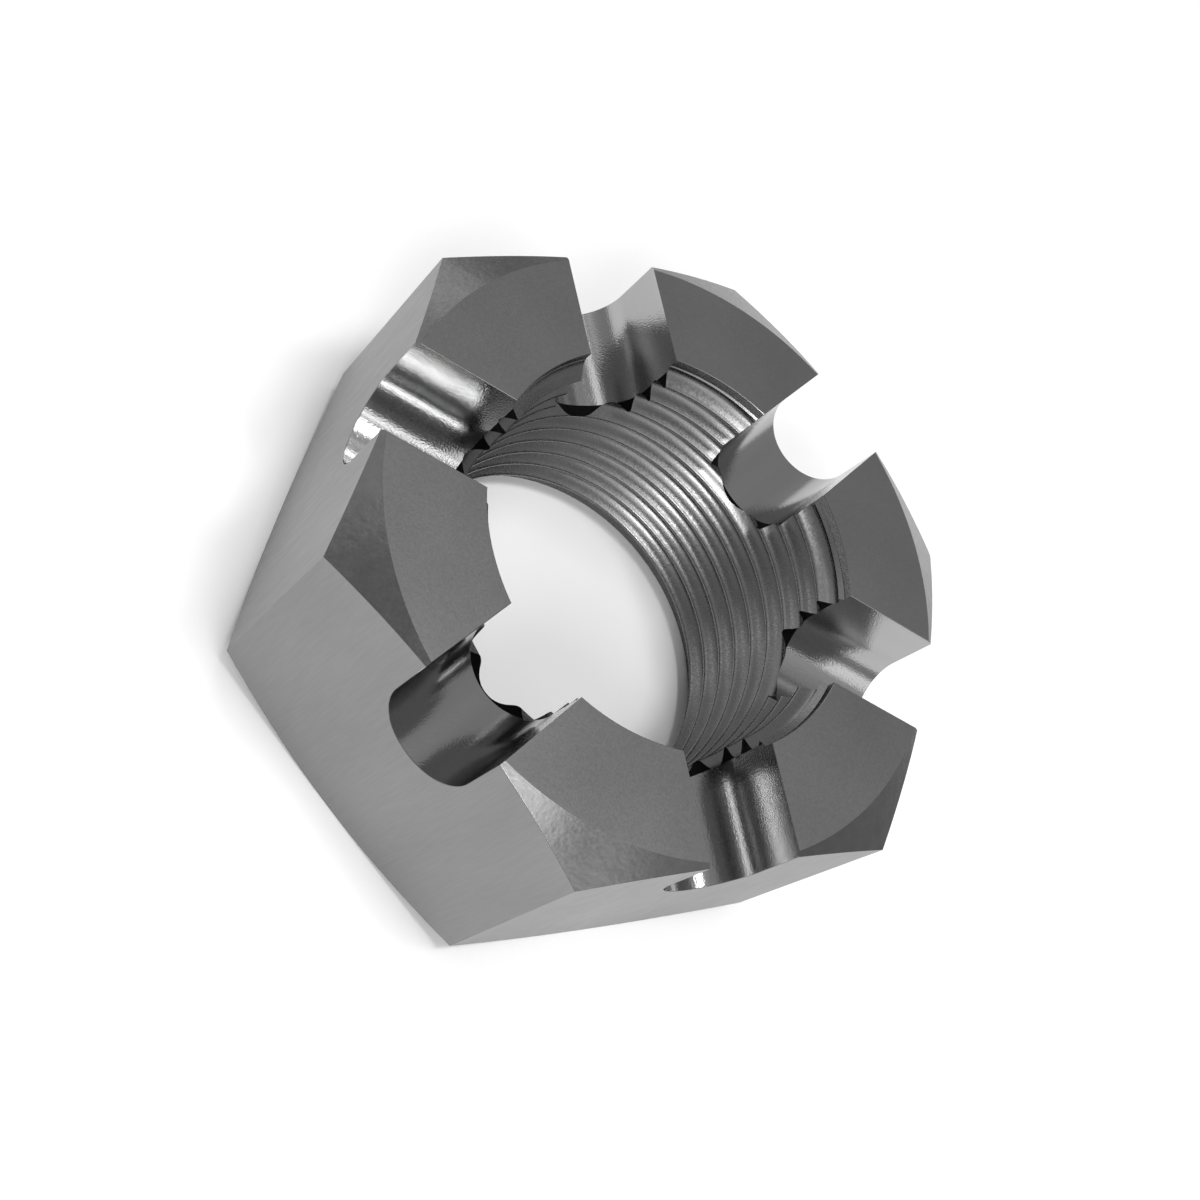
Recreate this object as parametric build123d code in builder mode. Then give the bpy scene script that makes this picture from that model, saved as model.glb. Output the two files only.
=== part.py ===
from build123d import *
import os
from math import ceil, cos, pi, radians, tan

# Slotted hexagon nut, one piece of steel, sizes in millimetres and angles in degrees.
# The origin is the middle of the flat bearing face, and the slots open upwards.

# Hexagon and its two turned ends
flat_count = 6
across_flats = 38.1
height = 18.3
face_diameter = 38.0      # circle left flat at each end by the turned chamfer
chamfer_angle = 30.0      # slope of the chamfer cone, measured from the end face

# Cotter pin slots, one across the middle of each flat, with a half-round bottom
slot_width = 6.35
slot_depth = 7.04

# Right-hand thread, 1 inch with 14 turns to the inch
inch = 25.4
major_diameter = inch
threads_per_inch = 14
flank_angle = 30.0        # each flank, measured from a plane square to the bore
crest_width = 0.12        # narrow land left at the inner edge of each turn
root_width = 0.632        # flat at the bottom of the groove
crest_trim = 0.25         # share of the crest that each flank takes by running on inwards
thread_start_angle = 58.0  # where the groove's middle crosses the bearing face

# Entry at both ends of the bore: a short plain step, then a cone down to the thread
entry_clearance = 0.05    # gap between the plain step and the thread's outer radius
entry_depth = 0.65
countersink_angle = 45.0  # slope of the cone, measured from the bore's axis

# How far each cutting shape runs on into the air, so that every cut is a clean one
cut_past = 1.0

# Radii, heights and the thread's own section, worked out from the sizes above
corner_radius = across_flats / 2 / cos(pi / flat_count)
face_radius = face_diameter / 2
slot_radius = slot_width / 2
slot_centre_height = height - slot_depth + slot_radius
pitch = inch / threads_per_inch
flank_slope = tan(radians(flank_angle))
groove_mouth = pitch - crest_width
groove_depth = (groove_mouth - root_width) / 2 / flank_slope
groove_overshoot = crest_width * crest_trim / flank_slope
major_radius = major_diameter / 2
minor_radius = major_radius - groove_depth
entry_radius = major_radius + entry_clearance
cone_depth = (entry_radius - minor_radius) / tan(radians(countersink_angle))
lead_turns = 1
groove_turns = ceil(height / pitch) + 2 * lead_turns


# One slot: a bar from the bore's axis out past a flat, round below and open above
with BuildPart() as slot_bar:
    with BuildSketch(Plane.YZ) as slot_section:
        with BuildLine() as slot_outline:
            bottom = ThreePointArc(
                (-slot_radius, slot_centre_height),
                (0, slot_centre_height - slot_radius),
                (slot_radius, slot_centre_height),
            )
            Polyline(
                bottom @ 1,
                (slot_radius, height + cut_past),
                (-slot_radius, height + cut_past),
                bottom @ 0,
            )
        make_face()
    extrude(amount=corner_radius + cut_past)


# One turn of the thread groove: a flat-rooted V that climbs a right-hand helix.
# Its flanks run on a little inside the bore, where neighbouring turns stay apart.
groove_frame = Plane.XY.offset(-lead_turns * pitch).rotated((0, 0, thread_start_angle))
groove_plane = Plane(
    origin=groove_frame.origin, x_dir=groove_frame.x_dir, z_dir=-groove_frame.y_dir
)
inner_radius = minor_radius - groove_overshoot
inner_half_width = groove_mouth / 2 + groove_overshoot * flank_slope
with BuildPart() as groove_turn:
    with BuildLine(groove_frame) as groove_path:
        Helix(pitch, pitch, major_radius)
    with BuildSketch(groove_plane) as groove_section:
        with BuildLine() as groove_outline:
            Polyline(
                (inner_radius, -inner_half_width),
                (major_radius, -root_width / 2),
                (major_radius, root_width / 2),
                (inner_radius, inner_half_width),
                close=True,
            )
        make_face()
    sweep(path=groove_path.line, is_frenet=True)


with BuildPart() as castle_nut:
    # Hexagon bar, with two of its flats facing along X
    with BuildSketch() as hexagon:
        RegularPolygon(
            across_flats / 2, flat_count, major_radius=False, rotation=180 / flat_count
        )
    extrude(amount=height)

    # Both ends are turned to a cone, which leaves a curved edge on each flat
    with BuildSketch(Plane.XZ) as turned_section:
        blank_radius = corner_radius + cut_past
        chamfer_drop = (blank_radius - face_radius) * tan(radians(chamfer_angle))
        with BuildLine() as turned_outline:
            Polyline(
                (0, 0),
                (face_radius, 0),
                (blank_radius, chamfer_drop),
                (blank_radius, height - chamfer_drop),
                (face_radius, height),
                (0, height),
                close=True,
            )
        make_face()
    revolve(axis=Axis.Z, mode=Mode.INTERSECT)

    # Bore at the thread's inner diameter, with the stepped and coned entry at each end
    with BuildSketch(Plane.XZ) as bore_section:
        with BuildLine() as bore_outline:
            Polyline(
                (0, -cut_past),
                (entry_radius, -cut_past),
                (entry_radius, entry_depth),
                (minor_radius, entry_depth + cone_depth),
                (minor_radius, height - entry_depth - cone_depth),
                (entry_radius, height - entry_depth),
                (entry_radius, height + cut_past),
                (0, height + cut_past),
                close=True,
            )
        make_face()
    revolve(axis=Axis.Z, mode=Mode.SUBTRACT)

    # The thread, one turn above the other, from below the nut to above it
    for turn in range(groove_turns):
        with Locations((0, 0, turn * pitch)):
            add(groove_turn.part, mode=Mode.SUBTRACT)

    # The slots, which cut through the upper turns
    with PolarLocations(0, flat_count):
        add(slot_bar.part, mode=Mode.SUBTRACT)

castle_nut.part.label = "castle_nut"
os.makedirs("parts", exist_ok=True)
export_step(castle_nut.part, "parts/castle_nut.step")
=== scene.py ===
from math import ceil, cos, hypot, pi, radians, sin, sqrt, tan

import bmesh
import bpy
from mathutils import Matrix, Vector


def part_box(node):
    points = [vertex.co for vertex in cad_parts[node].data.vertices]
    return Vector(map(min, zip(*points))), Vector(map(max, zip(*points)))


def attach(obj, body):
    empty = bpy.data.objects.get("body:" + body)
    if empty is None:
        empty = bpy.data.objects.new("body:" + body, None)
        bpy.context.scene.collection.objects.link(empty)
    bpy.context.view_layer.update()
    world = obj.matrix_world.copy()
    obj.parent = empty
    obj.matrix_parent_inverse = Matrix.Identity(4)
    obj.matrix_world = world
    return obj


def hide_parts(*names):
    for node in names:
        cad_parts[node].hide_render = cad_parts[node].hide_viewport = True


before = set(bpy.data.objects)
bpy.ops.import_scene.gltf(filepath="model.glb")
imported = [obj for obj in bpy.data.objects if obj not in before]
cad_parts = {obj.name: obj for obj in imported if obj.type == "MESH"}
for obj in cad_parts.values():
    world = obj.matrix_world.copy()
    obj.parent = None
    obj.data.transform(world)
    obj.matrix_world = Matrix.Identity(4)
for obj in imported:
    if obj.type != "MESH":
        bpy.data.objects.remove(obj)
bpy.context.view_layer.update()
print("frame loaded, CAD nodes:", len(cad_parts))

mm = 0.001  # the scene is in metres, and the sizes below are written in millimetres
inch = 25.4 * mm
sides = 6
sideTurn = 2 * pi / sides  # from one flat to the next, and from one slot to the next


def linear(hexColour):
    # sRGB hex to the linear colour that shaders take
    values = [int(hexColour[i:i + 2], 16) / 255 for i in (1, 3, 5)]
    return [v / 12.92 if v <= 0.04045 else ((v + 0.055) / 1.055) ** 2.4 for v in values] + [1]


def emptyTree(owner):
    # the node tree of a new material or world, with nothing in it yet
    owner.use_nodes = True
    owner.node_tree.nodes.clear()
    return owner.node_tree


def addNode(tree, kind, settings, inputs):
    # one node with its settings, and its inputs by name or number
    # an input given as a node is linked to that node's first output
    node = tree.nodes.new(kind)
    for name, value in settings.items():
        setattr(node, name, value)
    for name, value in inputs.items():
        if isinstance(value, bpy.types.Node):
            value = next(output for output in value.outputs if output.enabled)
        if isinstance(value, bpy.types.NodeSocket):
            tree.links.new(value, node.inputs[name])
        else:
            node.inputs[name].default_value = value
    return node


# The steel's finishes. Every one is plain uncoated carbon steel, so metallic is 1 and the
# IOR keeps its default. What differs is how each surface was made, but for the ridge ends,
# which are painted near-black as shade.
#   tone: the size of the soft patches of darker and lighter steel
#   wave, waveDepth: the size and depth of a slow unevenness, where the surface has one
#   grain, grainDepth: the size and depth of the fine marks that the tool or die left
#   rough: the lowest and highest roughness that the grain gives
# Sizes are in mm, and those of a pattern are given along x, y and z. A real turned or drawn
# grain is about 0.02 mm and couldn't be seen, so each grain is drawn several times coarser.
finishes = {
    # end face, turned flat: an even dark grey that only mirrors light softly
    "face": {
        "name": "steel_turned_end_face",
        "dark": "#7a7a7a", "light": "#888888", "rough": (0.36, 0.42),
        "tone": (6, 6, 6),
        "grain": (0.12, 0.12, 0.12), "grainDepth": 0.002,
    },
    # side flat, cold drawn: paler, with a fine straight grain along the bar
    "flat": {
        "name": "steel_cold_drawn_flat",
        "dark": "#848484", "light": "#929292", "rough": (0.40, 0.50),
        "tone": (7, 7, 14),
        "grain": (0.1, 0.1, 2.4), "grainDepth": 0.002,
    },
    # chamfer, turned through the drawn skin: slightly hammered, so that it glitters in the light
    "chamfer": {
        "name": "steel_turned_chamfer",
        "dark": "#707070", "light": "#808080", "rough": (0.20, 0.26),
        "tone": (0.9, 0.9, 0.9),
        "wave": (0.4, 0.4, 0.4), "waveDepth": 0.008,
        "grain": (0.2, 0.2, 0.2), "grainDepth": 0.0015,
    },
    # slot, milled bright: soft streaks run the length of the cut
    "slot": {
        "name": "steel_milled_slot",
        "dark": "#a0a0a0", "light": "#acacac", "rough": (0.12, 0.19),
        "tone": (24, 1.2, 1.2),
        "wave": (30, 1.6, 1.6), "waveDepth": 0.006,
        "grain": (0.11, 0.11, 0.11), "grainDepth": 0.009,
        "alongSlots": True,
    },
    # thread, tapped: satin bands with a fine torn grain
    "thread": {
        "name": "steel_tapped_thread",
        "dark": "#767676", "light": "#848484", "rough": (0.24, 0.34),
        "tone": (1.5, 1.5, 0.5),
        "wave": (0.5, 0.5, 0.5), "waveDepth": 0.003,
        "grain": (0.17, 0.17, 0.17), "grainDepth": 0.004,
    },
    # ridge ends, painted near-black as shade: they look like dark teeth
    "ridgeEnd": {
        "name": "steel_oil_black_ridge_end",
        "dark": "#080808", "light": "#161616", "rough": (0.55, 0.75),
        "tone": (1, 1, 1),
        "grain": (0.2, 0.2, 0.2), "grainDepth": 0.002,
    },
}
noiseLow, noiseHigh = 0.3, 0.7  # nearly all of a noise texture's values lie between these


def steelFinish(look):
    made = bpy.data.materials.new(look["name"])
    tree = emptyTree(made)
    place = addNode(tree, "ShaderNodeNewGeometry", {}, {})
    if look.get("alongSlots"):
        # turned to the nearest of the six slots, so that x runs the length of each one
        parts = addNode(tree, "ShaderNodeSeparateXYZ", {}, {"Vector": place})
        heading = addNode(tree, "ShaderNodeMath", {"operation": "ARCTAN2"},
                          {0: parts.outputs["Y"], 1: parts.outputs["X"]})
        pushed = addNode(tree, "ShaderNodeMath", {"operation": "ADD"}, {0: heading, 1: sideTurn / 2})
        nearest = addNode(tree, "ShaderNodeMath", {"operation": "SNAP"}, {0: pushed, 1: sideTurn})
        place = addNode(tree, "ShaderNodeVectorRotate", {"rotation_type": "Z_AXIS", "invert": True},
                        {"Vector": place, "Angle": nearest})
    pattern = {}
    for kind in ("tone", "wave", "grain"):
        if kind in look:
            cell = addNode(tree, "ShaderNodeVectorMath", {"operation": "DIVIDE"},
                           {0: place, 1: [size * mm for size in look[kind]]})
            pattern[kind] = addNode(tree, "ShaderNodeTexNoise", {},
                                    {"Vector": cell, "Scale": 1, "Detail": 1})
    colour = addNode(tree, "ShaderNodeMix", {"data_type": "RGBA"},
                     {"Factor": pattern["tone"],
                      "A": linear(look["dark"]), "B": linear(look["light"])})
    rough = addNode(tree, "ShaderNodeMapRange", {},
                    {"Value": pattern["grain"], "From Min": noiseLow, "From Max": noiseHigh,
                     "To Min": look["rough"][0], "To Max": look["rough"][1]})
    skin = {}  # the surface's normal so far, on which the next bump is laid
    for kind in ("wave", "grain"):
        if kind in look:
            depth = look[kind + "Depth"] * mm
            skin["Normal"] = addNode(tree, "ShaderNodeBump", {},
                                     {"Height": pattern[kind], "Distance": depth, **skin})
    shader = addNode(tree, "ShaderNodeBsdfPrincipled", {},
                     {"Base Color": colour, "Metallic": 1, "Roughness": rough, **skin})
    addNode(tree, "ShaderNodeOutputMaterial", {}, {"Surface": shader})
    return made


materials = {kind: steelFinish(look) for kind, look in finishes.items()}
finishNames = list(finishes)
print("steel finishes:", len(materials))


# The nut, with its two main sizes taken from the frame
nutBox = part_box("castle_nut")
nut = {
    "acrossFlats": nutBox[1].x - nutBox[0].x,
    "height": nutBox[1].z - nutBox[0].z,
    "faceDiameter": 38.0 * mm,  # circle left flat at each end by the chamfer
    "chamferAngle": 30,
    "slotWidth": 6.35 * mm,
    "slotDepth": 7.04 * mm,
    "slotStart": 8.0 * mm,      # how far from the axis each slot's cutter begins
    "threadDiameter": inch,
    "turnsPerInch": 14,
    "threadStart": 58,          # angle at which the groove's middle crosses the bearing face
    "threadDepth": 0.92 * mm,
    "crestLand": 0.06 * mm,     # width left flat along each crest
    "crestRound": 0.18 * mm,    # from the land to where the flank is steepest
    "blackDepth": 0.79 * mm,    # how much of each cut ridge end is painted black as shade, from its crest outwards
    "entryDepth": 0.65 * mm,    # plain step at each end of the bore
    "entryClearance": 0.05 * mm,
    "entryCone": 1.6 * mm,      # depth of the cone behind it, which runs on past the crests
    "edgeRound": 0.03 * mm,     # how far back each sharp edge is broken
    "sharpAngle": 26,           # edges that turn by more than this aren't shaded smooth
    # how many steps each of these is drawn in
    "flatSteps": 28,
    "cornerSteps": 4,
    "chamferSteps": 3,
    "slotSteps": 48,
    "boreSteps": 192,
    "crestSteps": 4,
    "flankSteps": 7,
}
apothem = nut["acrossFlats"] / 2
height = nut["height"]
nutCentre = Vector((0, 0, height / 2))
pitch = inch / nut["turnsPerInch"]
majorRadius = nut["threadDiameter"] / 2
minorRadius = majorRadius - nut["threadDepth"]
pastEdge = 1.0 * mm  # how far each cutter runs on into the air


def meshObject(name, points, faces, faceFinish):
    # every mesh has the same list of materials, so each cut surface brings its finish along
    mesh = bpy.data.meshes.new(name)
    mesh.from_pydata(points, [], faces)
    for material in materials.values():
        mesh.materials.append(material)
    mesh.polygons.foreach_set("material_index", [finishNames.index(f) for f in faceFinish])
    clean = bmesh.new()
    clean.from_mesh(mesh)
    bmesh.ops.recalc_face_normals(clean, faces=clean.faces)
    clean.to_mesh(mesh)
    clean.free()
    made = bpy.data.objects.new(name, mesh)
    bpy.context.scene.collection.objects.link(made)
    return made


def bend(start, corner, end, steps):
    # a round from start to end, drawn towards the corner
    line = []
    for i in range(steps + 1):
        t = i / steps
        line.append(tuple((1 - t) ** 2 * a + 2 * t * (1 - t) * b + t ** 2 * c
                          for a, b, c in zip(start, corner, end)))
    return line


def barOutline():
    # the hexagon as a list of (x, y), with its six long corners slightly rounded
    halfSide = apothem * tan(sideTurn / 2)
    flatEnd = halfSide - nut["edgeRound"]
    steps = nut["flatSteps"]

    def onFlat(side, along):
        a = side * sideTurn
        return (apothem * cos(a) - along * sin(a), apothem * sin(a) + along * cos(a))

    outline = []
    for side in range(sides):
        outline += [onFlat(side, flatEnd * (2 * i / steps - 1)) for i in range(steps + 1)]
        following = onFlat(side + 1, -flatEnd)
        outline += bend(outline[-1], onFlat(side, halfSide), following, nut["cornerSteps"])[1:-1]
    return outline


def barBlank():
    # the solid bar with both ends turned to a cone, as columns round the axis
    faceRadius = nut["faceDiameter"] / 2
    fall = tan(radians(nut["chamferAngle"]))
    steps = nut["chamferSteps"]
    rows = 2 * (steps + 2)
    stripFinish = ["chamfer"] * (steps + 1) + ["flat"] + ["chamfer"] * (steps + 1)
    outline = barOutline()
    points, faces, faceFinish = [], [], []
    for x, y in outline:
        radius = hypot(x, y)
        edge = height - (radius - faceRadius) * fall
        strip = hypot(radius - faceRadius, height - edge)
        back = min(nut["edgeRound"], 0.45 * strip)  # less where the chamfer is narrow
        start = (radius - back * (radius - faceRadius) / strip, edge + back * (height - edge) / strip)
        profile = [(faceRadius, height)] + bend(start, (radius, edge), (radius, edge - back), steps)
        profile += [(r, height - z) for r, z in reversed(profile)]
        points += [(x * r / radius, y * r / radius, z) for r, z in profile]
    columns = len(outline)
    for c in range(columns):
        for r in range(rows - 1):
            n = (c + 1) % columns
            faces.append((c * rows + r, c * rows + r + 1, n * rows + r + 1, n * rows + r))
            faceFinish.append(stripFinish[r])
    for r in (0, rows - 1):
        faces.append([c * rows + r for c in range(columns)])
        faceFinish.append("face")
    return meshObject("castle_nut_steel", points, faces, faceFinish)


def slotCutter():
    # six bars, round below, flared a little where they leave the nut so that each edge is broken
    edge = nut["edgeRound"]
    slotRadius = nut["slotWidth"] / 2
    centre = height - nut["slotDepth"] + slotRadius
    blackEnd = minorRadius + nut["blackDepth"]

    def section(extra):
        width = slotRadius + extra
        flare = width + edge + pastEdge
        line = [(flare, height + pastEdge), (width, height - edge)]
        for i in range(nut["slotSteps"] + 1):
            a = pi * i / nut["slotSteps"]
            line.append((width * cos(a), centre - width * sin(a)))
        return line + [(-width, height - edge), (-flare, height + pastEdge)]

    plain, flared = section(0), section(edge + pastEdge)
    rings = [
        [(nut["slotStart"], y, z) for y, z in plain],
        [(sqrt(blackEnd ** 2 - y ** 2), y, z) for y, z in plain],
        [(apothem - edge, y, z) for y, z in plain],
        [(apothem + pastEdge, y, z) for y, z in flared],
    ]
    # the band over the cut ridge ends gets the ridge-end finish, painted near-black as shade
    ringFinish = ["ridgeEnd", "slot", "chamfer"]
    size = len(plain)
    points, faces, faceFinish = [], [], []
    for slot in range(sides):
        turn = Matrix.Rotation(slot * sideTurn, 3, "Z")
        first = len(points)
        points += [tuple(turn @ Vector(p)) for ring in rings for p in ring]
        for r in range(len(rings) - 1):
            for i in range(size):
                n = (i + 1) % size
                a, b = first + r * size, first + (r + 1) * size
                faces.append((a + i, a + n, b + n, b + i))
                mouth = i in (0, size - 2) and ringFinish[r] == "slot"  # the broken upper edges
                faceFinish.append("chamfer" if mouth else ringFinish[r])
        last = first + (len(rings) - 1) * size
        faces.append([first + i for i in range(size)])
        faces.append([last + i for i in range(size)])
        faceFinish += ["slot", "slot"]
    return meshObject("slot_cutter", points, faces, faceFinish)


def entryCutter():
    # both mouths of the bore: an edge break, a short plain step, then a cone
    edge = nut["edgeRound"]
    entryRadius = majorRadius + nut["entryClearance"]
    profile = [
        (entryRadius + edge + pastEdge, -pastEdge),
        (entryRadius, edge),
        (entryRadius, nut["entryDepth"]),
        (entryRadius - nut["entryCone"], nut["entryDepth"] + nut["entryCone"]),
    ]
    stripFinish = ["chamfer", "thread", "thread"]
    rows = len(profile)
    steps = nut["boreSteps"]
    points, faces, faceFinish = [], [], []
    for top in (False, True):
        line = [(r, height - z if top else z) for r, z in profile]
        outer, inner = len(points), len(points) + 1  # the middle points of its two ends
        points += [(0, 0, line[0][1]), (0, 0, line[-1][1])]
        first = len(points)
        for i in range(steps):
            a = 2 * pi * (i + 0.5) / steps
            points += [(r * cos(a), r * sin(a), z) for r, z in line]
        for i in range(steps):
            a = first + i * rows
            b = first + (i + 1) % steps * rows
            for r in range(rows - 1):
                faces.append((a + r, a + r + 1, b + r + 1, b + r))
                faceFinish.append(stripFinish[r])
            faces.append((outer, a, b))
            faces.append((inner, a + rows - 1, b + rows - 1))
            faceFinish += ["face", "face"]
    return meshObject("entry_cutter", points, faces, faceFinish)


def tapCutter():
    # a tap: one long right-hand helical surface, closed above and below the nut
    # each side of the groove is rounded over at the crest, then hollows down to the bottom
    half = pitch / 2
    land = nut["crestLand"] / 2
    top = land + nut["crestRound"]
    steepest = nut["threadDepth"] / ((top - land) / 2 + (half - top) / 2)
    rise = []
    for i in range(nut["crestSteps"] + 1):
        u = land + (top - land) * i / nut["crestSteps"]
        rise.append((u - half, minorRadius + steepest * (u - land) ** 2 / 2 / (top - land)))
    for i in range(1, nut["flankSteps"] + 1):
        u = (half - top) * i / nut["flankSteps"]
        out = (top - land) / 2 + u - u ** 2 / 2 / (half - top)
        rise.append((top + u - half, minorRadius + steepest * out))
    profile = rise + [(-z, r) for z, r in reversed(rise[:-1])]
    rows = len(profile)
    steps = nut["boreSteps"]
    startTurn, endTurn = -2, ceil(height / pitch) + 1  # it runs on below and above the nut
    count = (endTurn - startTurn) * steps
    start = radians(nut["threadStart"])
    points = []
    for k in range(count + 1):
        turn = startTurn + k / steps
        a = start + 2 * pi * turn
        points += [(r * cos(a), r * sin(a), pitch * turn + z) for z, r in profile]
    faces = []
    for k in range(count):
        a, b = k * rows, (k + 1) * rows
        faces += [(a + r, b + r, b + r + 1, a + r + 1) for r in range(rows - 1)]
        if k + 1 + steps <= count:  # the crest, from this turn's last row to the next turn's first
            faces.append((a + rows - 1, b + rows - 1, b + steps * rows, a + steps * rows))
    # the two ends, each a fan round a point on the axis
    low, high = len(points), len(points) + 1
    points += [(0, 0, pitch * (startTurn - 1)), (0, 0, pitch * (endTurn + 1))]
    for k in range(steps):
        faces.append((low, k * rows, (k + 1) * rows))
        last = count - steps + k
        faces.append((high, last * rows + rows - 1, (last + 1) * rows + rows - 1))
    faces += [(low, r, r + 1) for r in range(rows - 1)] + [(low, rows - 1, steps * rows)]
    end = count * rows
    faces += [(high, end + r, end + r + 1) for r in range(rows - 1)]
    faces.append((high, (count - steps) * rows + rows - 1, end))
    return meshObject("tap_cutter", points, faces, ["thread"] * len(faces))


def applyModifiers(body):
    depsgraph = bpy.context.evaluated_depsgraph_get()
    mesh = bpy.data.meshes.new_from_object(body.evaluated_get(depsgraph), depsgraph=depsgraph)
    body.modifiers.clear()
    body.data = mesh


def cutAway(body, cutter):
    cut = body.modifiers.new("cut", "BOOLEAN")
    cut.object = cutter
    cut.operation = "DIFFERENCE"
    cut.solver = "EXACT"
    applyModifiers(body)
    bpy.data.objects.remove(cutter)
    print("cut:", len(body.data.polygons), "faces")


def smoothShade(body):
    # curved runs shade smooth, and each flat keeps its own true normal
    # in metres the faces are too small for the modifier to weigh, so it gets millimetres
    mesh = body.data
    mesh.transform(Matrix.Scale(1 / mm, 4))
    mesh.polygons.foreach_set("use_smooth", [True] * len(mesh.polygons))
    mesh.set_sharp_from_angle(angle=radians(nut["sharpAngle"]))
    weigh = body.modifiers.new("normals", "WEIGHTED_NORMAL")
    weigh.keep_sharp = True
    applyModifiers(body)
    body.data.transform(Matrix.Scale(mm, 4))


steelNut = barBlank()
cutAway(steelNut, slotCutter())
cutAway(steelNut, entryCutter())
cutAway(steelNut, tapCutter())
smoothShade(steelNut)
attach(steelNut, "root")
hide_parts("castle_nut")
print("nut cut and shaded")


# Floor, lamps and surrounding light
studio = {
    "floorColour": "#f4f4f4",
    "floorRough": 0.9,
    "floorSize": 3.0,
    "floorDrop": 0.01 * mm,  # just below the nut, so that the two don't share a plane
    "worldColour": "#a8a8a8",
    "worldStrength": 1.0,
    "lampDistance": 0.5,
    # name: azimuth, elevation, side of the square, watts
    "lamps": {
        "soft_left": (330, 25, 0.4, 0.2),
        "left_low": (116, 34, 0.25, 0.2),
        "low_left": (138, 42, 0.35, 0.06),
        "back_right": (338, 57, 0.12, 0.05),
        "top": (0, 90, 0.1, 0.18),
        "key": (82, 45, 0.13, 0.78),
        "left_edge": (101, 57, 0.12, 0.11),
        "overhead_left": (105, 79, 0.09, 0.5),
        "overhead_back": (165, 79, 0.08, 0.5),
        "overhead_right": (285, 79, 0.09, 0.26),
        "low_back": (300, 12, 0.18, 0.09),
    },
}


def makeFloor():
    half, low = studio["floorSize"] / 2, -studio["floorDrop"]
    corners = [(-half, -half, low), (half, -half, low), (half, half, low), (-half, half, low)]
    mesh = bpy.data.meshes.new("floor")
    mesh.from_pydata(corners, [], [(0, 1, 2, 3)])
    # matt white paper: even and pale, with no shine to speak of
    paper = bpy.data.materials.new("paper_matt_white")
    tree = emptyTree(paper)
    shader = addNode(tree, "ShaderNodeBsdfPrincipled", {},
                     {"Base Color": linear(studio["floorColour"]), "Roughness": studio["floorRough"]})
    addNode(tree, "ShaderNodeOutputMaterial", {}, {"Surface": shader})
    mesh.materials.append(paper)
    floor = bpy.data.objects.new("floor", mesh)
    bpy.context.scene.collection.objects.link(floor)


def direction(azimuth, elevation):
    a, e = radians(azimuth), radians(elevation)
    return Vector((cos(a) * cos(e), sin(a) * cos(e), sin(e)))


def makeLamps():
    for name, (azimuth, elevation, size, watts) in studio["lamps"].items():
        lamp = bpy.data.lights.new(name, "AREA")
        lamp.size = size
        lamp.energy = watts
        placed = bpy.data.objects.new(name, lamp)
        back = direction(azimuth, elevation)
        placed.location = nutCentre + back * studio["lampDistance"]
        placed.rotation_mode = "QUATERNION"
        placed.rotation_quaternion = back.to_track_quat("Z", "Y")
        bpy.context.scene.collection.objects.link(placed)


def makeWorld():
    world = bpy.data.worlds.new("studio")
    bpy.context.scene.world = world
    tree = emptyTree(world)
    light = addNode(tree, "ShaderNodeBackground", {},
                    {"Color": linear(studio["worldColour"]), "Strength": studio["worldStrength"]})
    addNode(tree, "ShaderNodeOutputWorld", {}, {"Surface": light})


# The photograph looks down at the nut's centre from close by, with the camera rolled
view = {
    "azimuth": 57.24,
    "elevation": 51.29,
    "distance": 105.08 * mm,
    "roll": 55.44,
    "lens": 50,
    "sensor": 36,
    "nearest": 1 * mm,  # nothing closer than this is drawn
}


def makeCamera():
    camera = bpy.data.cameras.new("camera")
    camera.lens = view["lens"]
    camera.sensor_width = view["sensor"]
    camera.clip_start = view["nearest"]
    placed = bpy.data.objects.new("camera", camera)
    back = direction(view["azimuth"], view["elevation"])
    stand = Matrix.Translation(nutCentre + back * view["distance"])
    level = back.to_track_quat("Z", "Y").to_matrix().to_4x4()
    placed.matrix_world = stand @ level @ Matrix.Rotation(radians(view["roll"]), 4, "Z")
    bpy.context.scene.collection.objects.link(placed)
    bpy.context.scene.camera = placed


makeFloor()
makeLamps()
makeWorld()
makeCamera()
bpy.context.scene.view_settings.view_transform = "Standard"
print("studio ready, lamps:", len(studio["lamps"]))
